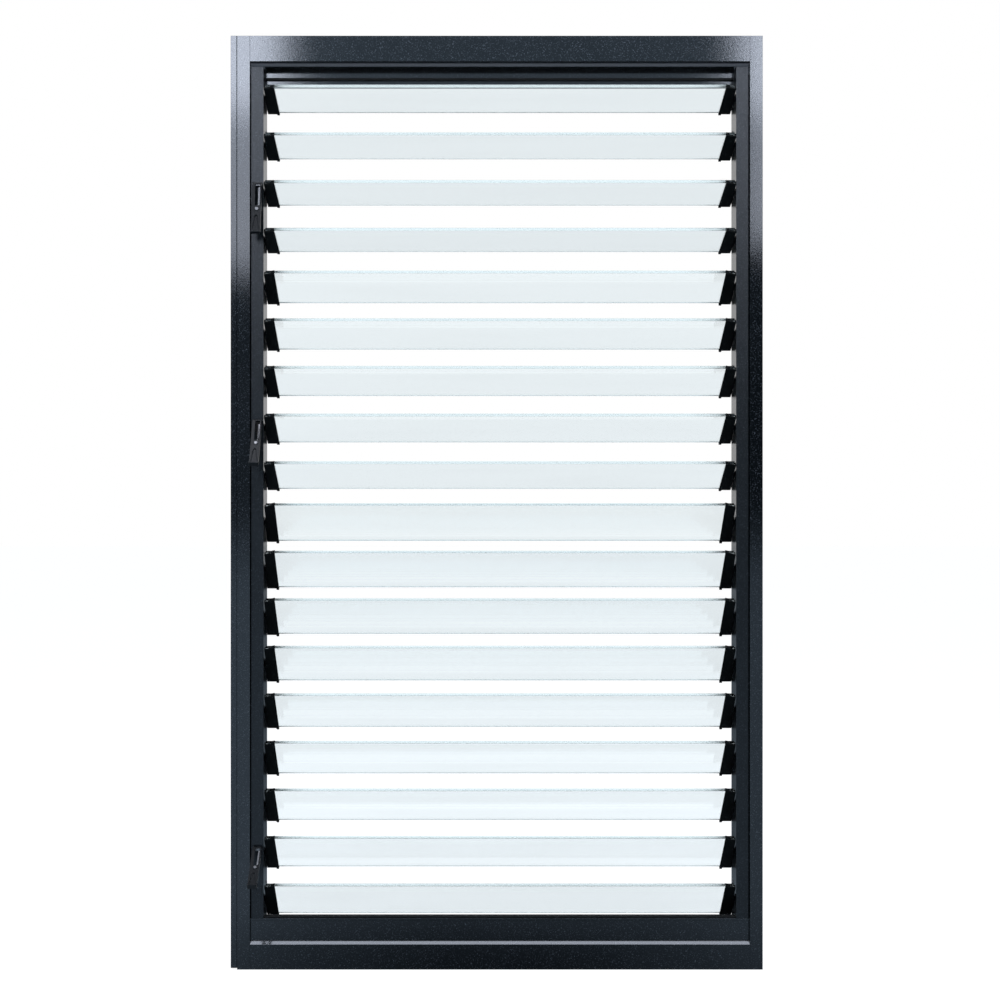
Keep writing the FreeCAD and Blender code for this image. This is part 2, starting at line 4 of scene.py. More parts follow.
import bmesh
import bpy
import numpy as np
from bpy.props import FloatProperty, FloatVectorProperty, PointerProperty
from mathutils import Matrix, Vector

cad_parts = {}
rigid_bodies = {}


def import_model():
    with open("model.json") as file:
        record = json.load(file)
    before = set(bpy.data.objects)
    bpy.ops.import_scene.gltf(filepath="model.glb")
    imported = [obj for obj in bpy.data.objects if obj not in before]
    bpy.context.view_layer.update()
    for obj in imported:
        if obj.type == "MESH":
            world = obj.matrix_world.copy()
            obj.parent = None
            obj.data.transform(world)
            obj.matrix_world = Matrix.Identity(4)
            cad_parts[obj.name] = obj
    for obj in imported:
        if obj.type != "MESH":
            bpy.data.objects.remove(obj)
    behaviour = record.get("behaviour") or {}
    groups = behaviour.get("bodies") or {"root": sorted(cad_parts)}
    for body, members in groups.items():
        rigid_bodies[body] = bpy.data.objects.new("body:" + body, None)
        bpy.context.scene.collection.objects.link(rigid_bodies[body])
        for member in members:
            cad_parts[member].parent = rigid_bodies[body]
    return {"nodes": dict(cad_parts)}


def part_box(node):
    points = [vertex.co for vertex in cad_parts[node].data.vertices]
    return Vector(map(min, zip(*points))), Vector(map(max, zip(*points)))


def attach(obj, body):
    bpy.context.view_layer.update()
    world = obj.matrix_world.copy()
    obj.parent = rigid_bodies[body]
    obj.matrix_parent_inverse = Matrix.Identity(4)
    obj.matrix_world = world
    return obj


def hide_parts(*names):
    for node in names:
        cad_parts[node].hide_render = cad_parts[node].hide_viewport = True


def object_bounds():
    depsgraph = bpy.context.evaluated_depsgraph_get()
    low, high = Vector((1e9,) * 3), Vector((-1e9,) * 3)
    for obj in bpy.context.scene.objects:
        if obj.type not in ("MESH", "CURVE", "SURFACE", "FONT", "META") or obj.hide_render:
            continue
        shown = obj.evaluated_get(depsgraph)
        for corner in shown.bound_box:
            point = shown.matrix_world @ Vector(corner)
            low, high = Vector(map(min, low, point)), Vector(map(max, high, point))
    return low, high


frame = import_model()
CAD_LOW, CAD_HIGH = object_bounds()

bl_info = {
    "name": "Jalousie window",
    "version": (1, 0, 0),
    "blender": (4, 5, 0),
    "location": "View3D > Sidebar > Jalousie",
    "description": "Dresses a jalousie window with coats, glass, seals and screws, and sets its stage",
    "category": "Object",
}

# Bodies and nodes of the frame.
BLADE_COUNT = 18
BLADES = ["blade_%02d" % number for number in range(1, BLADE_COUNT + 1)]
HANDLES = ["upper_handle", "middle_handle", "lower_handle"]
FRAME_NODES = ["left_jamb", "right_jamb", "left_edge_strip", "head", "sill"]
GALLERY_NODES = ["left_gallery", "right_gallery"]
LENGTH_WAY = np.array([1.0, 0.0, 0.0])
WIDTH_WAY = np.array([0.0, 1.0, 0.0])
RISE_WAY = np.array([0.0, 0.0, 1.0])

# Meshes, in metres. SKIN finds the corners of one face, and keeps a trim's ends off its neighbours.
MERGE_DISTANCE = 1e-5
SKIN = 0.0003
FLAT_ANGLE = math.radians(1)
CREASE_ANGLE = math.radians(28)
BEVEL_SEGMENTS = 2
LEVEL_WEIGHT = 100
CORNER_STEPS = 5
BEAD_STEPS, BEAD_STATIONS = 17, 41
PANE_STATIONS = 9
PANE_FLAT = 0.999
SEAL_STATIONS, FOOT_STATIONS = 61, 9
SEAL_ROUND = 0.45

# Screws: the blades above whose pivots they sit, their place from a pivot,
# and the shape of a head in shares of its radius.
SCREWED_BLADES = (2, 7, 12, 18)
SCREW_BACK, SCREW_RISE = 0.018, 0.028
SCREW_RINGS, SCREW_TURNS = 11, 36
DOME_HEIGHT = 0.55
RECESS_ARM, RECESS_REACH, RECESS_DEPTH = 0.13, 0.62, 0.32

# Finishes. A ramp is the pair of values between which a mask goes from 0 to 1.
FLECK_RAMP = (0.52, 0.80)
DRIFT_SCALE, DRIFT_RAMP, DRIFT_SHARE = 9.0, (0.3, 0.7), 0.03
PEEL_FINENESS = 2.2
ROUGHNESS_SWING = 0.05
GRAIN_TURN = (0.4, 0.7, 0.2)
GRAIN_DEPTH = 0.0002
LEVEL_RAMP = (0.9, 0.99)
BEAD_PALING, CLIP_PALING, HANDLE_PALING = 1.5, 3.0, 3.2
GALLERY_GRAIN, GALLERY_DULLING, GALLERY_EDGE = 0.8, 0.22, 0.7
STEEL_EDGE = 0.6
WIPE_SCALE, WIPE_RAMP, WIPE_DULLING = (3.0, 22.0, 22.0), (0.35, 0.8), 0.975
GLASS_IOR = 1.5
FACE_ROUGHNESS, EDGE_ROUGHNESS = (0.0, 0.03), (0.18, 0.24)
DRAW_SCALE, DRAW_RAMP, DRAW_DARK = (2400.0, 2400.0, 60.0), (0.2, 0.8), 0.62
DRAW_ROUGHNESS, DRAW_DEPTH = (0.34, 0.52), 0.0001
FIBRE_SCALE, FIBRE_RAMP, TIP_RAMP = (1900.0, 300.0, 300.0), (0.2, 0.8), (0.4, 0.8)
FIBRE_ROUGHNESS, FIBRE_DEPTH, TIP_PALING = (0.8, 0.98), 0.0004, 3.0

# Stage, in metres. The side boxes stand in one upright plane,
# and each is split into an upper and a lower one.
BOX_PLANE, BOX_TOP, BOX_SPLIT, BOX_WIDTH = -3.45, 3.00, 2.36, 0.80
LEFT_BOX_X, LEFT_BOX_FOOT = -1.17, 1.75
RIGHT_BOX_X, RIGHT_BOX_FOOT = 1.38, 1.85
TOP_BOX_PLACE, TOP_BOX_TARGET, TOP_BOX_SIZE = (0.0, -0.80, 3.00), (0.0, 0.0, 0.05), (2.80, 0.70)
FLOOR_HALF, FLOOR_LINES, FLOOR_DROP = 30.0, 13, 0.0005
FLOOR_CLOUD_SCALE, FLOOR_CLOUD_RAMP, FLOOR_CLOUD_SHADE = 0.6, (0.3, 0.7), 0.985
FLOOR_ROUGHNESS = 0.9
FLOOR_FADE, FLOOR_FAR_GLOW = (1.0, 5.0), 0.875
# Painted reflection: the floor's glow for mirrored rays grows with reach, is dimmer behind the window and
# brighter on the left.
GLEAM_REACH = (0.0, 0.9)
BEHIND_RAMP, BEHIND_SHARE = (0.1, 1.0), 0.25
LEFT_FLOOR_RAMP = (-0.6, -0.35)
SENSOR_WIDTH = 36.0
LIGHT_BOUNCES = 28

# World, by the parts of a ray's direction.
LIT_RAMP = (-0.35, 0.45)
RISE_RAMP = (0.13, 0.25)
CEILING_RAMP, CEILING_SHARE = (0.35, 0.7), 0.25
LEFT_RAY_RAMP = (-0.13, 0.0)
BACKDROP_RAMP = (0.3, 0.8)
WHITE = (1, 1, 1, 1)
BLACK = (0, 0, 0, 1)


class FrameFinish(bpy.types.PropertyGroup):
    """Coat of the jambs, head, sill, edge strip and galleries."""

    coat_colour: FloatVectorProperty(
        name="Coat", description="Ground colour of the powder coat",
        subtype="COLOR", size=3, min=0, max=1, default=(0.0020, 0.0034, 0.0046))
    fleck_colour: FloatVectorProperty(
        name="Flecks", description="Colour of the fine flecks in the coat",
        subtype="COLOR", size=3, min=0, max=1, default=(0.092, 0.112, 0.135))
    gallery_colour: FloatVectorProperty(
        name="Gallery coat", description="Ground colour of the galleries",
        subtype="COLOR", size=3, min=0, max=1, default=(0.0022, 0.0034, 0.0042))
    coat_roughness: FloatProperty(
        name="Roughness", description="Mean roughness of the satin coat", min=0, max=1, default=0.065)
    sheen_colour: FloatVectorProperty(
        name="Sheen", description="Cool tint of what the coat mirrors",
        subtype="COLOR", size=3, min=0, max=1, default=(0.88, 0.93, 1.0))
    grain_size: FloatProperty(
        name="Grain", description="Width of one fleck",
        unit="LENGTH", min=0.0003, max=0.01, default=0.0023)
    edge_round: FloatProperty(
        name="Edge round", description="Radius along the extrusions' edges",
        unit="LENGTH", min=0.0001, max=0.002, default=0.0003)
    # Painted light: the head stop's ground is a lighter copy of the frame coat, standing in for the room its
    # strips mirror.
    stop_painted_light_colour: FloatVectorProperty(
        name="Head stop coat", description="Ground colour of the head stop",
        subtype="COLOR", size=3, min=0, max=1, default=(0.022, 0.026, 0.030))
    # Partly painted highlight: the bead's pale grey stands in for the light line along the head's lip. Its
    # rounded face also catches that line by mirroring the lamps.
    bead_highlight_colour: FloatVectorProperty(
        name="Bead colour", description="Colour of the grey vinyl bead along the head's lip",
        subtype="COLOR", size=3, min=0, max=1, default=(0.088, 0.100, 0.116))
    bead_swell: FloatProperty(
        name="Bead", description="How far the bead swells into the room",
        unit="LENGTH", min=0.0005, max=0.004, default=0.0014)


class GlassFinish(bpy.types.PropertyGroup):
    """Glass of the blades."""

    tint: FloatVectorProperty(
        name="Tint", description="Colour of light that passes through a blade's faces",
        subtype="COLOR", size=3, min=0, max=1, default=(0.848, 0.908, 0.930))
    edge_tint: FloatVectorProperty(
        name="Edge tint", description="Colour of light in the ground long edges",
        subtype="COLOR", size=3, min=0, max=1, default=(0.80, 0.93, 0.965))
    edge_round: FloatProperty(
        name="Edge round", description="Radius of the ground corners",
        unit="LENGTH", min=0.0002, max=0.0029, default=0.0010)


class FittingFinish(bpy.types.PropertyGroup):
    """Clips, handles, keepers and the steel pieces."""

    clip_colour: FloatVectorProperty(
        name="Clips", description="Colour of the moulded blade clips",
        subtype="COLOR", size=3, min=0, max=1, default=(0.0036, 0.0046, 0.0050))
    handle_colour: FloatVectorProperty(
        name="Handles", description="Colour of the moulded handles",
        subtype="COLOR", size=3, min=0, max=1, default=(0.0038, 0.0050, 0.0064))
    steel_colour: FloatVectorProperty(
        name="Steel", description="Colour of the stainless pieces",
        subtype="COLOR", size=3, min=0, max=1, default=(0.22, 0.22, 0.23))
    edge_round: FloatProperty(
        name="Edge round", description="Radius along moulded edges",
        unit="LENGTH", min=0.0001, max=0.001, default=0.0004)
    handle_round: FloatProperty(
        name="Handle round", description="Radius along a handle's edges",
        unit="LENGTH", min=0.0001, max=0.001, default=0.0007)
    clip_grain: FloatProperty(
        name="Clip grain", description="Width of the grain in the clips' plastic",
        unit="LENGTH", min=0.0003, max=0.01, default=0.0012)
    handle_grain: FloatProperty(
        name="Handle grain", description="Width of the grain in the handles' plastic",
        unit="LENGTH", min=0.0003, max=0.01, default=0.0011)
    screw_radius: FloatProperty(
        name="Screw head", description="Radius of a pan head",
        unit="LENGTH", min=0.001, max=0.008, default=0.0036)


class SealSizes(bpy.types.PropertyGroup):
    """Pile seals that the first and last blade close against."""

    pile_height: FloatProperty(
        name="Pile", description="How far the pile hangs from the foot of the head stop's front fin",
        unit="LENGTH", min=0.001, max=0.006, default=0.0044)
    pile_colour: FloatVectorProperty(
        name="Pile colour", description="Colour of the woven pile",
        subtype="COLOR", size=3, min=0, max=1, default=(0.0035, 0.0038, 0.0042))
    sill_width: FloatProperty(
        name="Sill seal width", description="Width of the seal on the sill's upstand", unit="LENGTH",
        min=0.004, max=0.017, default=0.0155)
    sill_height: FloatProperty(
        name="Sill seal height", description="Height of the seal on the sill's upstand", unit="LENGTH",
        min=0.002, max=0.006, default=0.0037)


class StageSettings(bpy.types.PropertyGroup):
    """Camera, lamps and floor."""

    camera_place: FloatVectorProperty(
        name="Camera", description="Where the camera stands", subtype="TRANSLATION", unit="LENGTH",
        size=3, default=(-0.0598, -3.350, 0.880))
    lens: FloatProperty(
        name="Lens", description="Focal length in millimetres", min=10, max=200, default=63.4)
    shift: FloatProperty(
        name="Shift", description="Sideways lens shift", min=-0.2, max=0.2, default=0.032)
    left_power: FloatProperty(
        name="Left boxes", description="Power of the upper left softbox",
        unit="POWER", min=0, default=23.5)
    right_power: FloatProperty(
        name="Right boxes", description="Power of the upper right softbox",
        unit="POWER", min=0, default=22.0)
    lower_share: FloatProperty(
        name="Lower boxes", description="Power of a lower softbox as a share of the one above it",
        subtype="FACTOR", min=0, max=1, default=0.38)
    top_power: FloatProperty(
        name="Top box", description="Power of the overhead softbox",
        unit="POWER", min=0, default=49.0)
    lamp_colour: FloatVectorProperty(
        name="Lamp colour", description="Cool white of the softboxes", subtype="COLOR",
        size=3, min=0, max=1, default=(0.90, 0.92, 1.0))
    front_glow: FloatProperty(
        name="Room glow", description="Brightness of the room in front of the window",
        min=0, max=1, default=0.03)
    back_glow: FloatProperty(
        name="Backdrop glow", description="Brightness of the backdrop",
        min=0, max=1, default=0.8)
    low_gleam: FloatProperty(
        name="Low gleam", description="Brightness that a coat mirrors at eye level",
        min=0, max=1, default=0.05)
    left_gleam: FloatProperty(
        name="Left gleam", description="Brightness that a coat mirrors from the left",
        min=0, max=1, default=0.22)
    high_gleam: FloatProperty(
        name="High gleam", description="Brightness that a coat mirrors from above",
        min=0, max=1, default=0.85)
    gleam_colour: FloatVectorProperty(
        name="Gleam colour", description="Cool colour of the dim room", subtype="COLOR",
        size=3, min=0, max=1, default=(0.66, 0.83, 1.0))
    floor_colour: FloatVectorProperty(
        name="Floor", description="Colour of the floor", subtype="COLOR",
        size=3, min=0, max=1, default=(0.30, 0.32, 0.345))
    floor_glow: FloatProperty(
        name="Floor glow", description="Light that the floor adds where it is seen",
        min=0, max=1, default=0.93)
    # Painted reflection: the next three values set a glow on the floor that only mirrored rays see.
    near_painted_gleam: FloatProperty(
        name="Near gleam", description="Brightness of the floor near the window in a coat",
        min=0, max=1, default=0.10)
    far_painted_gleam: FloatProperty(
        name="Far gleam", description="Brightness of the far floor in a coat",
        min=0, max=1, default=0.82)
    left_painted_lift: FloatProperty(
        name="Left lift", description="How much brighter the floor on the left is in a coat",
        min=1, max=2, default=1.35)


class Tree:
    """Adds and links the nodes of one node tree."""

    def __init__(self, nodes, links):
        self.nodes = nodes
        self.links = links

    def add(self, kind, **values):
        """A node of that kind. Each value sets the input of that name, with underscores as spaces, or else
        the attribute of that name."""
        node = self.nodes.new(kind)
        for word, value in values.items():
            title = word.replace("_", " ")
            if title in node.inputs:
                self.feed(value, node.inputs[title])
            else:
                setattr(node, word, value)
        return node

    def feed(self, value, socket):
        """Links a socket, or sets a plain value."""
        if isinstance(value, bpy.types.NodeSocket):
            self.links.new(value, socket)
        else:
            socket.default_value = value

    def maths(self, operation, *values):
        """One arithmetic step on two or three values."""
        node = self.nodes.new("ShaderNodeMath")
        node.operation = operation
        for value, socket in zip(values, node.inputs):
            self.feed(value, socket)
        return node.outputs[0]

    def spread(self, value, low, high, to_low=0.0, to_high=1.0):
        """Carries the span low to high over to another span with a smooth ramp."""
        node = self.add("ShaderNodeMapRange", interpolation_type="SMOOTHSTEP")
        for number, part in enumerate((value, low, high, to_low, to_high)):
            self.feed(part, node.inputs[number])
        return node.outputs[0]

    def blend(self, share, first, second):
        """Two colours mixed by a share."""
        node = self.add("ShaderNodeMix", data_type="RGBA")
        self.feed(share, node.inputs["Factor"])
        self.feed(first, node.inputs[6])
        self.feed(second, node.inputs[7])
        return node.outputs[2]

    def noise(self, vector, scale, detail):
        """Smooth noise between 0 and 1."""
        return self.add("ShaderNodeTexNoise", Vector=vector, Scale=scale, Detail=detail).outputs[0]


def new_group(name, inputs, outputs):
    """An empty shader node group with those named sockets, its tree, and its two end nodes."""
    group = bpy.data.node_groups.new(name, "ShaderNodeTree")
    for word, kind, value in inputs:
        socket = group.interface.new_socket(name=word, in_out="INPUT", socket_type=kind)
        if value is not None:
            socket.default_value = value
    for word, kind in outputs:
        group.interface.new_socket(name=word, in_out="OUTPUT", socket_type=kind)
    tree = Tree(group.nodes, group.links)
    return group, tree, tree.add("NodeGroupInput").outputs, tree.add("NodeGroupOutput").inputs


def fleck_group():
    """Mottled coat: flecks where a fine noise is high, a slow drift of the ground colour, and fine
    orange-peel relief."""
    found = bpy.data.node_groups.get("coat_flecks")
    if found:
        return found
    group, tree, given, out = new_group(
        "coat_flecks",
        [("Vector", "NodeSocketVector", None), ("Scale", "NodeSocketFloat", 600.0),
         ("Ground", "NodeSocketColor", None), ("Fleck", "NodeSocketColor", None),
         ("Share", "NodeSocketFloat", 0.5), ("Roughness", "NodeSocketFloat", 0.4)],
        [("Color", "NodeSocketColor"), ("Roughness", "NodeSocketFloat"), ("Height", "NodeSocketFloat")])
    fine = tree.noise(given["Vector"], given["Scale"], 2.0)
    slow = tree.noise(given["Vector"], DRIFT_SCALE, 2.0)
    peel = tree.noise(given["Vector"], tree.maths("MULTIPLY", given["Scale"], PEEL_FINENESS), 1.0)
    mask = tree.maths("MULTIPLY", tree.spread(fine, *FLECK_RAMP), given["Share"])
    drift = tree.maths("MULTIPLY", tree.spread(slow, *DRIFT_RAMP), DRIFT_SHARE)
    ground = tree.blend(drift, given["Ground"], given["Fleck"])
    tree.feed(tree.blend(mask, ground, given["Fleck"]), out["Color"])
    uneven = tree.maths("MULTIPLY_ADD", fine, ROUGHNESS_SWING, -ROUGHNESS_SWING / 2)
    tree.feed(tree.maths("ADD", given["Roughness"], uneven), out["Roughness"])
    tree.feed(tree.maths("ADD", fine, peel), out["Height"])
    return group


def smear_group():
    """Faint wipe marks: a stretched noise that lifts the roughness and dulls the colour a little."""
    found = bpy.data.node_groups.get("wipe_marks")
    if found:
        return found
    group, tree, given, out = new_group(
        "wipe_marks",
        [("Vector", "NodeSocketVector", None), ("Clean", "NodeSocketColor", None),
         ("Marked", "NodeSocketColor", None), ("Low", "NodeSocketFloat", 0.0),
         ("High", "NodeSocketFloat", 0.05)],
        [("Color", "NodeSocketColor"), ("Roughness", "NodeSocketFloat")])
    stretched = tree.add("ShaderNodeMapping", Vector=given["Vector"], Scale=WIPE_SCALE).outputs[0]
    marks = tree.spread(tree.noise(stretched, 1.0, 4.0), *WIPE_RAMP)
    tree.feed(tree.blend(marks, given["Clean"], given["Marked"]), out["Color"])
    span = tree.maths("SUBTRACT", given["High"], given["Low"])
    tree.feed(tree.maths("ADD", given["Low"], tree.maths("MULTIPLY", marks, span)), out["Roughness"])
    return group


def shaded(colour, factor):
    """A colour with each channel times a factor."""
    return [channel * factor for channel in colour]


def new_material(name):
    """A node material with a bare Principled shader: the material, its tree, the shader and the Object
    coordinates."""
    material = bpy.data.materials.new(name)
    material.use_nodes = True
    material.node_tree.nodes.clear()
    tree = Tree(material.node_tree.nodes, material.node_tree.links)
    shader = tree.add("ShaderNodeBsdfPrincipled")
    out = tree.add("ShaderNodeOutputMaterial")
    tree.feed(shader.outputs[0], out.inputs["Surface"])
    return material, tree, shader, tree.add("ShaderNodeTexCoord").outputs["Object"]


def grained(name, ground, fleck, size, share, roughness, relief, gleam=0.5, sheen=(1.0, 1.0, 1.0), dust=0.0):
    """Material with the coat_flecks group: a coat or a moulded plastic, by its values.

    Share is how strongly the flecks show, gleam the level of the mirror coat, sheen its tint, and dust what
    settled dust adds to the roughness of level tops."""
    found = bpy.data.materials.get(name)
    if found:
        return found
    material, tree, shader, place = new_material(name)
    turned = tree.add("ShaderNodeMapping", Vector=place, Rotation=GRAIN_TURN).outputs[0]
    flecks = tree.add("ShaderNodeGroup", node_tree=fleck_group())
    for word, value in (("Vector", turned), ("Scale", 1.0 / size), ("Ground", (*ground, 1)),
                        ("Fleck", (*fleck, 1)), ("Share", share), ("Roughness", roughness)):
        tree.feed(value, flecks.inputs[word])
    shader.inputs["Specular IOR Level"].default_value = gleam
    shader.inputs["Specular Tint"].default_value = (*sheen, 1)
    tree.feed(flecks.outputs["Color"], shader.inputs["Base Color"])
    facing = tree.add("ShaderNodeNewGeometry").outputs["Normal"]
    level = tree.add("ShaderNodeSeparateXYZ", Vector=facing).outputs["Z"]
    settled = tree.spread(level, *LEVEL_RAMP, 0.0, dust)
    tree.feed(tree.maths("ADD", flecks.outputs["Roughness"], settled), shader.inputs["Roughness"])
    bump = tree.add("ShaderNodeBump", Strength=relief, Distance=GRAIN_DEPTH, Height=flecks.outputs["Height"])
    tree.feed(bump.outputs[0], shader.inputs["Normal"])
    return material


def gallery_coat(finish):
    """The galleries' duller coat, which their keepers share."""
    return grained("gallery_powder_coat", finish.gallery_colour, finish.fleck_colour,
                   finish.grain_size * GALLERY_GRAIN, share=0.5,
                   roughness=finish.coat_roughness + GALLERY_DULLING,
                   relief=0.4, gleam=0.34, sheen=finish.sheen_colour)


def glazing(name, tint, roughness):
    """Glass with the wipe_marks group, whose marks carry the roughness from the first value to the second."""
    found = bpy.data.materials.get(name)
    if found:
        return found
    material, tree, shader, place = new_material(name)
    marks = tree.add("ShaderNodeGroup", node_tree=smear_group())
    dulled = shaded(tint, WIPE_DULLING)
    low, high = roughness
    for word, value in (("Vector", place), ("Clean", (*tint, 1)), ("Marked", (*dulled, 1)),
                        ("Low", low), ("High", high)):
        tree.feed(value, marks.inputs[word])
    tree.feed(marks.outputs["Color"], shader.inputs["Base Color"])
    tree.feed(marks.outputs["Roughness"], shader.inputs["Roughness"])
    shader.inputs["Transmission Weight"].default_value = 1.0
    shader.inputs["IOR"].default_value = GLASS_IOR
    return material


def drawn_steel(name, colour):
    """Stainless steel with fine draw lines: a noise stretched along Z shifts its shade and roughness."""
    found = bpy.data.materials.get(name)
    if found:
        return found
    material, tree, shader, place = new_material(name)
    lines = tree.add("ShaderNodeMapping", Vector=place, Scale=DRAW_SCALE).outputs[0]
    streak = tree.noise(lines, 1.0, 3.0)
    dark = shaded(colour, DRAW_DARK)
    tree.feed(tree.blend(streak, (*dark, 1), (*colour, 1)), shader.inputs["Base Color"])
    tree.feed(tree.spread(streak, *DRAW_RAMP, *DRAW_ROUGHNESS), shader.inputs["Roughness"])
    bump = tree.add("ShaderNodeBump", Strength=0.15, Distance=DRAW_DEPTH, Height=streak)
    tree.feed(bump.outputs[0], shader.inputs["Normal"])
    shader.inputs["Metallic"].default_value = 1.0
    return material


def woven_pile(name, colour):
    """Pile strip: a noise stretched along the fibres shows their tips and relief."""
    found = bpy.data.materials.get(name)
    if found:
        return found
    material, tree, shader, place = new_material(name)
    fibres = tree.add("ShaderNodeMapping", Vector=place, Scale=FIBRE_SCALE).outputs[0]
    tips = tree.noise(fibres, 1.0, 3.0)
    pale = shaded(colour, TIP_PALING)
    tree.feed(tree.blend(tree.spread(tips, *TIP_RAMP), (*colour, 1), (*pale, 1)), shader.inputs["Base Color"])
    tree.feed(tree.spread(tips, *FIBRE_RAMP, *FIBRE_ROUGHNESS), shader.inputs["Roughness"])
    bump = tree.add("ShaderNodeBump", Strength=0.8, Distance=FIBRE_DEPTH, Height=tips)
    tree.feed(bump.outputs[0], shader.inputs["Normal"])
    return material


def add_piece(name, mesh, body, replaced=()):
    """Links a mesh as a piece that rides on a body and the nodes it stands for."""
    piece = bpy.data.objects.new(name, mesh)
    bpy.context.scene.collection.objects.link(piece)
    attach(piece, body)
    if replaced:
        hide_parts(*replaced)
    return piece


def smooth_but_creases(mesh):
    """Shades a mesh smooth, but for its creases."""
    mesh.polygons.foreach_set("use_smooth", np.ones(len(mesh.polygons), bool))
    mesh.set_sharp_from_angle(angle=CREASE_ANGLE)


def softened(node, body, material, radius):
    """Stands for a CAD node with its creases rounded: the node's triangles are merged, level neighbours are
    joined, a bevel of that radius runs along each crease, and normals weighted by area keep faces level."""
    mesh = frame["nodes"][node].data.copy()
    mesh.name = node + "_dressed"
    work = bmesh.new()
    work.from_mesh(mesh)
    bmesh.ops.remove_doubles(work, verts=work.verts, dist=MERGE_DISTANCE)
    bmesh.ops.dissolve_limit(work, angle_limit=FLAT_ANGLE, verts=work.verts, edges=work.edges)
    work.to_mesh(mesh)
    work.free()
    mesh.materials.clear()
    mesh.materials.append(material)
    mesh.polygons.foreach_set("material_index", np.zeros(len(mesh.polygons), np.int32))
    smooth_but_creases(mesh)
    piece = add_piece(node + "_dressed", mesh, body, [node])
    bevel = piece.modifiers.new("soft_edges", "BEVEL")
    bevel.width = radius
    bevel.segments = BEVEL_SEGMENTS
    bevel.limit_method = "ANGLE"
    bevel.angle_limit = CREASE_ANGLE
    bevel.use_clamp_overlap = False
    level = piece.modifiers.new("level_faces", "WEIGHTED_NORMAL")
    level.mode = "FACE_AREA"
    level.weight = LEVEL_WEIGHT
    level.keep_sharp = True
    return piece


def ring_faces(rows, columns):
    """Quads between neighbouring rows of a grid whose columns close on themselves."""
    row, column = np.meshgrid(np.arange(rows - 1), np.arange(columns), indexing="ij")
    after = (column + 1) % columns
    return np.stack([row * columns + column, row * columns + after,
                     (row + 1) * columns + after, (row + 1) * columns + column], -1).reshape(-1, 4)


def rounded_outline(half_width, half_thick, radius, steps):
    """Outline of a bar's section, anticlockwise: a rectangle whose corners are quarter circles."""
    turn = np.linspace(0, math.pi / 2, steps)
    starts = np.array([0, 1, 2, 3])[:, None] * math.pi / 2
    signs = np.array([[1, 1], [-1, 1], [-1, -1], [1, -1]])
    centres = signs * np.array([half_width - radius, half_thick - radius])
    angle = starts + turn
    points = centres[:, None, :] + radius * np.stack([np.cos(angle), np.sin(angle)], -1)
    return points.reshape(-1, 2)


def lens_outline(half_height, swell, steps):
    """Outline of a bead, anticlockwise: a parabola, offset = swell times (1 - t squared), and its chord."""
    rise = np.linspace(1, -1, steps)
    return np.stack([-swell * (1 - rise ** 2), half_height * rise], -1)


def bar_mesh(name, outline, origin, across, up, along, stations):
    """A profile carried along a line: point = origin + u across + v up + s along, with closed ends."""
    level = np.asarray(origin) + outline[:, :1] * across + outline[:, 1:] * up
    points = stations[:, None, None] * np.asarray(along) + level
    count = len(outline)
    quads = ring_faces(len(stations), count)
    ends = [list(range(count))[::-1], list(range((len(stations) - 1) * count, len(stations) * count))]
    mesh = bpy.data.meshes.new(name)
    mesh.from_pydata(points.reshape(-1, 3).tolist(), [], quads.tolist() + ends)
    mesh.validate()
    return mesh


def node_corners(node):
    """The corners of a CAD node as rows of X, Y and Z."""
    data = frame["nodes"][node].data
    corners = np.empty(len(data.vertices) * 3)
    data.vertices.foreach_get("co", corners)
    return corners.reshape(-1, 3)


def blade_axes(node):
    """Centre, half sizes and the two cross directions of a blade, from how its corners spread in Y and Z."""
    corners = node_corners(node)
    low, high = corners.min(0), corners.max(0)
    centre = (low + high) / 2
    flat = (corners - centre)[:, 1:]
    width_way = np.linalg.svd(flat, full_matrices=False)[2][0]
    if width_way[0] > 0:
        width_way = -width_way
    across = np.array([0.0, width_way[0], width_way[1]])
    up = np.cross(LENGTH_WAY, across)
    local = corners - centre
    return centre, high[0] - centre[0], abs(local @ across).max(), abs(local @ up).max(), across, up


def screw_points(centre, inward, radius):
    """A pan head on a grid of radius share r and angle: height = dome times the root of (1 - r to the 4th),
    less a cross-shaped recess at the middle."""
    share = np.linspace(0, 1, SCREW_RINGS)[:, None]
    angle = np.arange(SCREW_TURNS)[None, :] * (2 * math.pi / SCREW_TURNS)
    side, rise = share * np.cos(angle), share * np.sin(angle)
    dome = DOME_HEIGHT * (1 - share ** 4) ** 0.5
    arm = np.minimum(abs(side), abs(rise)) < RECESS_ARM
    recess = np.where(arm & (share < RECESS_REACH), RECESS_DEPTH, 0.0)
    height = np.broadcast_to(dome, side.shape) - recess
    second = np.cross(inward, RISE_WAY)
    shape = side[..., None] * second + rise[..., None] * RISE_WAY + height[..., None] * inward
    return np.asarray(centre) + radius * shape


def screw_mesh(name, places, inward, radius):
    """All the screws as one mesh, each closed at its pole and below its rim."""
    grids = [screw_points(place, way, radius) for place, way in zip(places, inward)]
    rows, columns = grids[0].shape[:2]
    faces = ring_faces(rows, columns)
    whole = np.concatenate([grid.reshape(-1, 3) for grid in grids])
    count = rows * columns
    quads = np.concatenate([faces + number * count for number in range(len(grids))]).tolist()
    rims = [number * count - columns for number in range(1, len(grids) + 1)]
    bases = [list(range(rim, rim + columns))[::-1] for rim in rims]
    mesh = bpy.data.meshes.new(name)
    mesh.from_pydata(whole.tolist(), [], quads + bases)
    work = bmesh.new()
    work.from_mesh(mesh)
    bmesh.ops.remove_doubles(work, verts=work.verts, dist=MERGE_DISTANCE)
    bmesh.ops.recalc_face_normals(work, faces=work.faces)
    work.to_mesh(mesh)
    work.free()
    return mesh


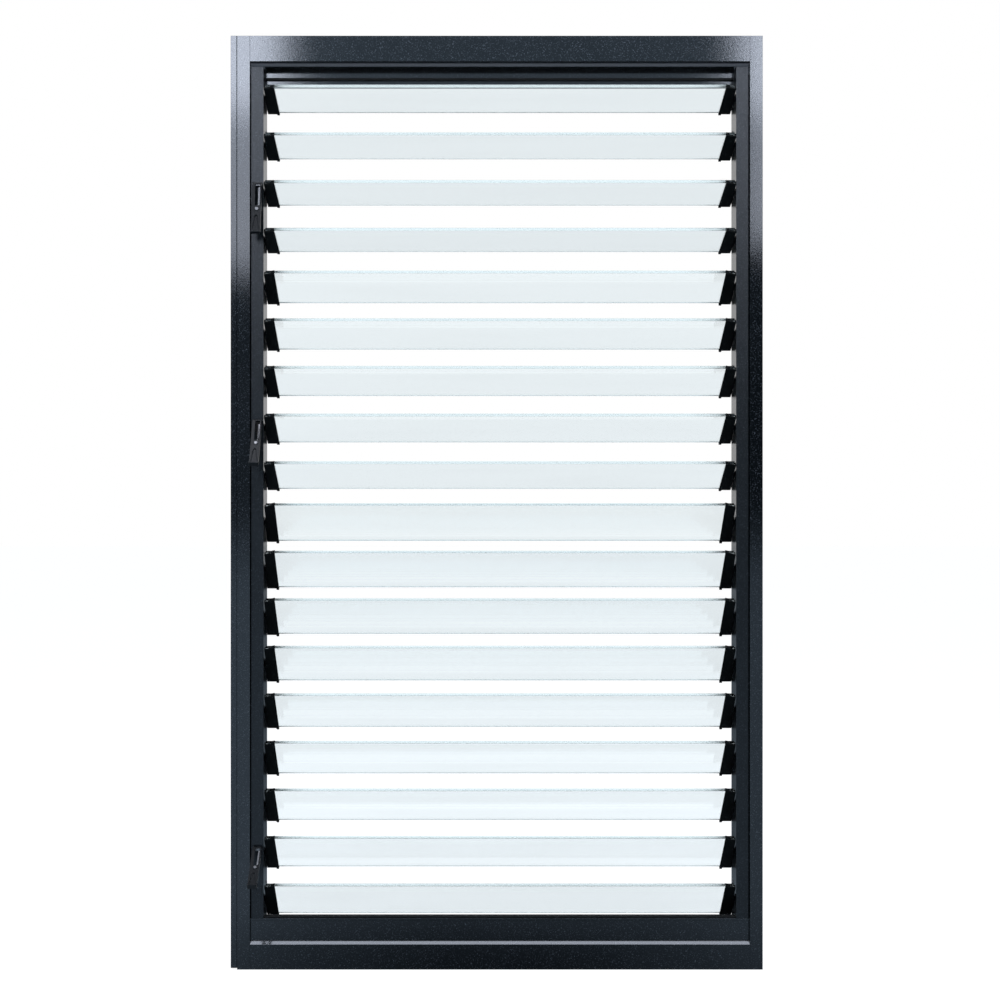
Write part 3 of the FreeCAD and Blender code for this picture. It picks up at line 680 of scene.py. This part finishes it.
class JALOUSIE_OT_coat_frame(bpy.types.Operator):
    """Coats the jambs, head, head stop, sill and edge strip, the head stop in a lighter copy of the coat as
    painted light
    """

    bl_idname = "jalousie.coat_frame"
    bl_label = "Coat the frame"

    def execute(self, context):
        finish = context.scene.jalousie_frame
        coat = grained("frame_powder_coat", finish.coat_colour, finish.fleck_colour, finish.grain_size,
                       share=0.75, roughness=finish.coat_roughness, relief=0.12, gleam=0.5,
                       sheen=finish.sheen_colour, dust=0.5)
        for node in FRAME_NODES:
            softened(node, "frame", coat, finish.edge_round)
        # Painted light: a lighter copy of the coat stands in for the room that the head stop's strips mirror.
        stop_coat = grained("head_stop_painted_light_coat", finish.stop_painted_light_colour, finish.fleck_colour, finish.grain_size,
                            share=0.3, roughness=finish.coat_roughness, relief=0.16, gleam=0.5,
                            sheen=finish.sheen_colour)
        softened("head_stop", "frame", stop_coat, finish.edge_round)
        return {"FINISHED"}


class JALOUSIE_OT_run_bead(bpy.types.Operator):
    """Runs the vinyl bead along the head's lip, whose pale grey is partly a painted highlight"""

    bl_idname = "jalousie.run_bead"
    bl_label = "Run the bead"

    def execute(self, context):
        finish = context.scene.jalousie_frame
        head = node_corners("head")
        low, high = head.min(0), head.max(0)
        lip_front = head[head[:, 2] < low[2] + SKIN, 1].min()
        underside = head[head[:, 1] < low[1] + SKIN, 2].min()
        outline = lens_outline((underside - low[2]) / 2 - SKIN, finish.bead_swell, BEAD_STEPS)
        middle = (0.0, lip_front, (underside + low[2]) / 2)
        stations = np.linspace(low[0] + SKIN, high[0] - SKIN, BEAD_STATIONS)
        mesh = bar_mesh("head_bead", outline, middle, WIDTH_WAY, RISE_WAY, LENGTH_WAY, stations)
        smooth_but_creases(mesh)
        # Partly painted highlight: the pale grey and its paler flecks stand in for the light line under the
        # lip.
        pale = shaded(finish.bead_highlight_colour, BEAD_PALING)
        vinyl = grained("bead_highlight_vinyl", finish.bead_highlight_colour, pale, finish.grain_size,
                        share=0.5, roughness=0.5, relief=0.2, gleam=0.3)
        mesh.materials.append(vinyl)
        add_piece("head_bead", mesh, "frame")
        return {"FINISHED"}


class JALOUSIE_OT_coat_galleries(bpy.types.Operator):
    """Coats the two galleries that carry the blades"""

    bl_idname = "jalousie.coat_galleries"
    bl_label = "Coat the galleries"

    def execute(self, context):
        finish = context.scene.jalousie_frame
        coat = gallery_coat(finish)
        for node in GALLERY_NODES:
            softened(node, "frame", coat, finish.edge_round * GALLERY_EDGE)
        return {"FINISHED"}


class JALOUSIE_OT_glaze_blades(bpy.types.Operator):
    """Makes the glass of each blade, with ground long edges"""

    bl_idname = "jalousie.glaze_blades"
    bl_label = "Glaze the blades"

    def execute(self, context):
        finish = context.scene.jalousie_glass
        faces = glazing("blade_glass", finish.tint, FACE_ROUGHNESS)
        edges = glazing("blade_glass_edge", finish.edge_tint, EDGE_ROUGHNESS)
        for body in BLADES:
            node = body + "_glass"
            centre, half_length, half_width, half_thick, across, up = blade_axes(node)
            outline = rounded_outline(half_width, half_thick, finish.edge_round, CORNER_STEPS)
            stations = np.linspace(-half_length, half_length, PANE_STATIONS)
            mesh = bar_mesh(node + "_pane", outline, centre, across, up, LENGTH_WAY, stations)
            mesh.materials.append(faces)
            mesh.materials.append(edges)
            normals = np.empty(len(mesh.polygons) * 3)
            mesh.polygons.foreach_get("normal", normals)
            flat = abs(normals.reshape(-1, 3) @ up) > PANE_FLAT
            mesh.polygons.foreach_set("material_index", np.where(flat, 0, 1).astype(np.int32))
            mesh.polygons.foreach_set("use_smooth", ~flat)
            add_piece(node + "_pane", mesh, body, [node])
        return {"FINISHED"}


class JALOUSIE_OT_finish_clips(bpy.types.Operator):
    """Gives the blade clips their moulded finish"""

    bl_idname = "jalousie.finish_clips"
    bl_label = "Finish the clips"

    def execute(self, context):
        finish = context.scene.jalousie_fittings
        pale = shaded(finish.clip_colour, CLIP_PALING)
        plastic = grained("clip_plastic", finish.clip_colour, pale, finish.clip_grain,
                          share=0.8, roughness=0.6, relief=0.4, gleam=0.05)
        for body in BLADES:
            softened(body + "_clips", body, plastic, finish.edge_round)
        return {"FINISHED"}


class JALOUSIE_OT_finish_handles(bpy.types.Operator):
    """Finishes the handles, their steel inserts, brackets and keepers"""

    bl_idname = "jalousie.finish_handles"
    bl_label = "Finish the handles"

    def execute(self, context):
        finish = context.scene.jalousie_fittings
        pale = shaded(finish.handle_colour, HANDLE_PALING)
        plastic = grained("handle_plastic", finish.handle_colour, pale, finish.handle_grain,
                          share=0.5, roughness=0.45, relief=0.25, gleam=0.2)
        steel = drawn_steel("handle_steel", finish.steel_colour)
        for body in HANDLES:
            softened(body, body, plastic, finish.handle_round)
            softened(body + "_insert", body, steel, finish.edge_round * STEEL_EDGE)
        softened("handle_brackets", "frame", steel, finish.edge_round * STEEL_EDGE)
        coat = gallery_coat(context.scene.jalousie_frame)
        softened("handle_keepers", "frame", coat, finish.edge_round)
        return {"FINISHED"}


class JALOUSIE_OT_fit_seals(bpy.types.Operator):
    """Fits the seals under the head stop, on the sill's upstand and below the galleries' feet"""

    bl_idname = "jalousie.fit_seals"
    bl_label = "Fit the seals"

    def execute(self, context):
        seals = context.scene.jalousie_seals
        pile = woven_pile("seal_pile", seals.pile_colour)
        stop_low, stop_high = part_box("head_stop")
        stop = node_corners("head_stop")
        fin_foot = stop[stop[:, 1] < stop_low.y + SKIN, 2].min()
        fin_rear = stop[abs(stop[:, 2] - fin_foot) < SKIN, 1].max()
        fin_thick = fin_rear - stop_low.y
        sill = node_corners("sill")
        upstand_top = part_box("sill")[1].z
        upstand_rear = sill[sill[:, 2] > upstand_top - SKIN, 1].max()
        rear = sill[:, 1].max()
        slope_low = sill[sill[:, 1] > rear - SKIN, 2].max()
        behind = sill[abs(sill[:, 1] - upstand_rear) < SKIN, 2]
        slope_high = behind[behind < upstand_top - SKIN].max()
        rows = {
            "head_pile_seal": (
                (fin_thick, seals.pile_height),
                (fin_rear - fin_thick / 2, fin_foot - seals.pile_height / 2)),
            "sill_seal": (
                (seals.sill_width, seals.sill_height),
                (upstand_rear - seals.sill_width / 2, upstand_top + seals.sill_height / 2)),
        }
        stations = np.linspace(stop_low.x + SKIN, stop_high.x - SKIN, SEAL_STATIONS)
        for name, ((depth, height), place) in rows.items():
            outline = rounded_outline(depth / 2, height / 2, min(depth, height) * SEAL_ROUND, CORNER_STEPS)
            mesh = bar_mesh(name, outline, (0.0, *place), WIDTH_WAY, RISE_WAY, LENGTH_WAY, stations)
            mesh.materials.append(pile)
            add_piece(name, mesh, "frame")
        for side, node in zip(("left", "right"), GALLERY_NODES):
            low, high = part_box(node)
            drop = (slope_high - slope_low) / (rear - upstand_rear)
            foot = slope_high - drop * (high.y - upstand_rear)
            outline = np.array([(upstand_rear, slope_high), (high.y, foot),
                                (high.y, low.z), (upstand_rear, low.z)])
            stations = np.linspace(low.x + SKIN, high.x - SKIN, FOOT_STATIONS)
            name = side + "_foot_seal"
            mesh = bar_mesh(name, outline, (0.0, 0.0, 0.0), WIDTH_WAY, RISE_WAY, LENGTH_WAY, stations)
            mesh.materials.append(pile)
            add_piece(name, mesh, "frame")
        return {"FINISHED"}


class JALOUSIE_OT_drive_screws(bpy.types.Operator):
    """Drives the screws that hold the galleries, behind and above a pivot, where no clip sweeps"""

    bl_idname = "jalousie.drive_screws"
    bl_label = "Drive the screws"

    def execute(self, context):
        finish = context.scene.jalousie_fittings
        steel = drawn_steel("screw_steel", finish.steel_colour)
        left_web, right_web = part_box("left_gallery")[1].x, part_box("right_gallery")[0].x
        places, ways = [], []
        for number in SCREWED_BLADES:
            centre = blade_axes(BLADES[number - 1] + "_glass")[0]
            depth, height = centre[1] + SCREW_BACK, centre[2] + SCREW_RISE
            places += [(left_web, depth, height), (right_web, depth, height)]
            ways += [LENGTH_WAY, -LENGTH_WAY]
        mesh = screw_mesh("gallery_screws", places, ways, finish.screw_radius)
        mesh.materials.append(steel)
        add_piece("gallery_screws", mesh, "frame")
        return {"FINISHED"}


class JALOUSIE_OT_set_stage(bpy.types.Operator):
    """Sets the floor, backdrop, lamps and camera"""

    bl_idname = "jalousie.set_stage"
    bl_label = "Set the stage"

    def execute(self, context):
        stage = context.scene.jalousie_stage
        lay_floor(stage)
        light_world(context.scene, stage)
        lit = lamp_lit(context.scene)
        for side, x, foot, power in (("left", LEFT_BOX_X, LEFT_BOX_FOOT, stage.left_power),
                                     ("right", RIGHT_BOX_X, RIGHT_BOX_FOOT, stage.right_power)):
            for level, low, high, share in (("upper", BOX_SPLIT, BOX_TOP, 1.0),
                                            ("lower", foot, BOX_SPLIT, stage.lower_share)):
                middle = (low + high) / 2
                softbox(side + "_" + level + "_box", (x, BOX_PLANE, middle), (x, 0.0, middle),
                        (BOX_WIDTH, high - low), power * share, stage.lamp_colour, lit)
        softbox("top_box", TOP_BOX_PLACE, TOP_BOX_TARGET, TOP_BOX_SIZE,
                stage.top_power, stage.lamp_colour, lit)
        stand_camera(context.scene, stage)
        cycles = context.scene.cycles
        cycles.max_bounces = cycles.transmission_bounces = cycles.glossy_bounces = LIGHT_BOUNCES
        context.scene.view_settings.view_transform = "Standard"
        return {"FINISHED"}


def ray_shares(tree):
    """Two shares, each 0 or 1: for rays that show a place, also through glass, and for mirrored rays. Rays
    through rough glass count as glossy too, so they are taken off the second share."""
    path = tree.add("ShaderNodeLightPath").outputs
    seen = tree.maths("MAXIMUM", path["Is Camera Ray"], path["Is Transmission Ray"])
    return seen, tree.maths("MULTIPLY", path["Is Glossy Ray"], tree.maths("SUBTRACT", 1.0, seen))


def lay_floor(stage):
    """A wide floor just below the sill: a grid of quads, pale and glowing where it is seen. Mirrored rays see
    it black, with a
    painted reflection glowing in its place: darker near the window and behind it, and brighter on the left."""
    steps = np.linspace(-FLOOR_HALF, FLOOR_HALF, FLOOR_LINES)
    x, y = np.meshgrid(steps, steps, indexing="ij")
    points = np.stack([x, y, np.full_like(x, CAD_LOW.z - FLOOR_DROP)], -1).reshape(-1, 3)
    count = len(steps)
    row, column = np.meshgrid(np.arange(count - 1), np.arange(count - 1), indexing="ij")
    corner = row * count + column
    quads = np.stack([corner, corner + count, corner + count + 1, corner + 1], -1).reshape(-1, 4)
    mesh = bpy.data.meshes.new("studio_floor")
    mesh.from_pydata(points.tolist(), [], quads.tolist())
    floor = bpy.data.objects.new("studio_floor", mesh)
    bpy.context.scene.collection.objects.link(floor)
    material, tree, shader, place = new_material("studio_floor_paint")
    seen, mirrors = ray_shares(tree)
    reach = tree.add("ShaderNodeVectorMath", operation="LENGTH", Vector=place).outputs["Value"]
    cloud = tree.spread(tree.noise(place, FLOOR_CLOUD_SCALE, 2.0), *FLOOR_CLOUD_RAMP)
    deeper = shaded(stage.floor_colour, FLOOR_CLOUD_SHADE)
    paint = tree.blend(cloud, (*stage.floor_colour, 1), (*deeper, 1))
    # Mirrored rays see the floor black; the painted reflection glow set below takes its place.
    tree.feed(tree.blend(mirrors, paint, BLACK), shader.inputs["Base Color"])
    shader.inputs["Roughness"].default_value = FLOOR_ROUGHNESS
    shader.inputs["Specular IOR Level"].default_value = 0.0
    glow_colour = tree.blend(mirrors, WHITE, (*stage.gleam_colour, 1))
    tree.feed(glow_colour, shader.inputs["Emission Color"])
    glow = tree.spread(reach, *FLOOR_FADE, stage.floor_glow, FLOOR_FAR_GLOW)
    shown = tree.maths("MULTIPLY", seen, glow)
    # Painted reflection: a glow that only mirrored rays see, dim near the window, brighter far off, dimmer
    # behind and brighter on the left.
    gleam = tree.spread(reach, *GLEAM_REACH, stage.near_painted_gleam, stage.far_painted_gleam)
    spot = tree.add("ShaderNodeSeparateXYZ", Vector=place).outputs
    before = tree.maths("MULTIPLY", gleam, tree.spread(spot["Y"], *BEHIND_RAMP, 1.0, BEHIND_SHARE))
    lift = tree.spread(spot["X"], *LEFT_FLOOR_RAMP, stage.left_painted_lift, 1.0)
    mirrored = tree.maths("MULTIPLY", mirrors, tree.maths("MULTIPLY", before, lift))
    tree.feed(tree.maths("MAXIMUM", shown, mirrored), shader.inputs["Emission Strength"])
    mesh.materials.append(material)


def light_world(scene, stage):
    """White where the background is seen. Mirrored rays meet the white backdrop behind and, in front, a cool
    room that brightens upwards to a dark ceiling. Other rays meet a dim room in front and a bright
    backdrop behind."""
    world = bpy.data.worlds.new("studio_world")
    world.use_nodes = True
    world.node_tree.nodes.clear()
    tree = Tree(world.node_tree.nodes, world.node_tree.links)
    ray = tree.add("ShaderNodeTexCoord").outputs["Generated"]
    parts = tree.add("ShaderNodeSeparateXYZ", Vector=ray).outputs
    lit = tree.spread(parts["Y"], *LIT_RAMP, stage.front_glow, stage.back_glow)
    above = tree.spread(parts["Z"], *RISE_RAMP, stage.low_gleam, stage.high_gleam)
    overhead = tree.maths("MULTIPLY", above, tree.spread(parts["Z"], *CEILING_RAMP, 1.0, CEILING_SHARE))
    room = tree.maths("ADD", overhead, tree.spread(parts["X"], *LEFT_RAY_RAMP, stage.left_gleam, 0.0))
    backdrop = tree.spread(parts["Y"], *BACKDROP_RAMP)
    mirrored = tree.maths("MAXIMUM", room, backdrop)
    seen, mirrors = ray_shares(tree)
    change = tree.maths("MULTIPLY", mirrors, tree.maths("SUBTRACT", mirrored, lit))
    strength = tree.maths("MAXIMUM", tree.maths("ADD", lit, change), seen)
    cool = tree.maths("MULTIPLY", mirrors, tree.maths("SUBTRACT", 1.0, backdrop))
    colour = tree.blend(cool, WHITE, (*stage.gleam_colour, 1))
    back = tree.add("ShaderNodeBackground", Color=colour, Strength=strength)
    out = tree.add("ShaderNodeOutputWorld")
    tree.feed(back.outputs[0], out.inputs["Surface"])
    scene.world = world


def lamp_lit(scene):
    """A collection of what the lamps light: all but the panes, so that no lamp glares white in the glass."""
    lit = bpy.data.collections.new("lamp_lit")
    for piece in scene.objects:
        if piece.type == "MESH" and not piece.name.endswith("_pane"):
            lit.objects.link(piece)
    return lit


def softbox(name, place, target, size, power, colour, lit):
    """A rectangular soft lamp at a place, turned to a target, that lights one collection."""
    lamp = bpy.data.lights.new(name, "AREA")
    lamp.shape = "RECTANGLE"
    lamp.size, lamp.size_y = size
    lamp.energy = power
    lamp.color = colour
    box = bpy.data.objects.new(name, lamp)
    box.location = place
    box.rotation_euler = (Vector(target) - Vector(place)).to_track_quat("-Z", "Y").to_euler()
    box.visible_camera = False
    box.light_linking.receiver_collection = lit
    bpy.context.scene.collection.objects.link(box)


def stand_camera(scene, stage):
    """A level camera that looks along +Y, with its lens shifted sideways to frame the window."""
    lens = bpy.data.cameras.new("photo_camera")
    lens.sensor_width = SENSOR_WIDTH
    lens.lens = stage.lens
    lens.shift_x = stage.shift
    camera = bpy.data.objects.new("photo_camera", lens)
    camera.location = stage.camera_place
    camera.rotation_euler = (math.pi / 2, 0.0, 0.0)
    scene.collection.objects.link(camera)
    scene.camera = camera


class JALOUSIE_PT_sidebar(bpy.types.Panel):
    """Lists the steps that dress the window"""

    bl_label = "Jalousie window"
    bl_idname = "JALOUSIE_PT_sidebar"
    bl_space_type = "VIEW_3D"
    bl_region_type = "UI"
    bl_category = "Jalousie"

    def draw(self, context):
        for step in OPERATORS:
            self.layout.operator(step.bl_idname)


OPERATORS = (
    JALOUSIE_OT_coat_frame,
    JALOUSIE_OT_run_bead,
    JALOUSIE_OT_coat_galleries,
    JALOUSIE_OT_glaze_blades,
    JALOUSIE_OT_finish_clips,
    JALOUSIE_OT_finish_handles,
    JALOUSIE_OT_fit_seals,
    JALOUSIE_OT_drive_screws,
    JALOUSIE_OT_set_stage,
)
SETTINGS = {
    "jalousie_frame": FrameFinish,
    "jalousie_glass": GlassFinish,
    "jalousie_fittings": FittingFinish,
    "jalousie_seals": SealSizes,
    "jalousie_stage": StageSettings,
}


def register():
    """Registers the settings, the steps and the panel."""
    for word, group in SETTINGS.items():
        bpy.utils.register_class(group)
        setattr(bpy.types.Scene, word, PointerProperty(type=group))
    for step in (*OPERATORS, JALOUSIE_PT_sidebar):
        bpy.utils.register_class(step)


def unregister():
    """Takes the panel, the steps and the settings away again."""
    for step in (JALOUSIE_PT_sidebar, *reversed(OPERATORS)):
        bpy.utils.unregister_class(step)
    for word, group in reversed(SETTINGS.items()):
        delattr(bpy.types.Scene, word)
        bpy.utils.unregister_class(group)


def main():
    """Registers the add-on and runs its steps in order."""
    register()
    bpy.ops.jalousie.coat_frame()
    bpy.ops.jalousie.run_bead()
    bpy.ops.jalousie.coat_galleries()
    bpy.ops.jalousie.glaze_blades()
    bpy.ops.jalousie.finish_clips()
    bpy.ops.jalousie.finish_handles()
    bpy.ops.jalousie.fit_seals()
    bpy.ops.jalousie.drive_screws()
    bpy.ops.jalousie.set_stage()


if __name__ == "__main__":
    main()
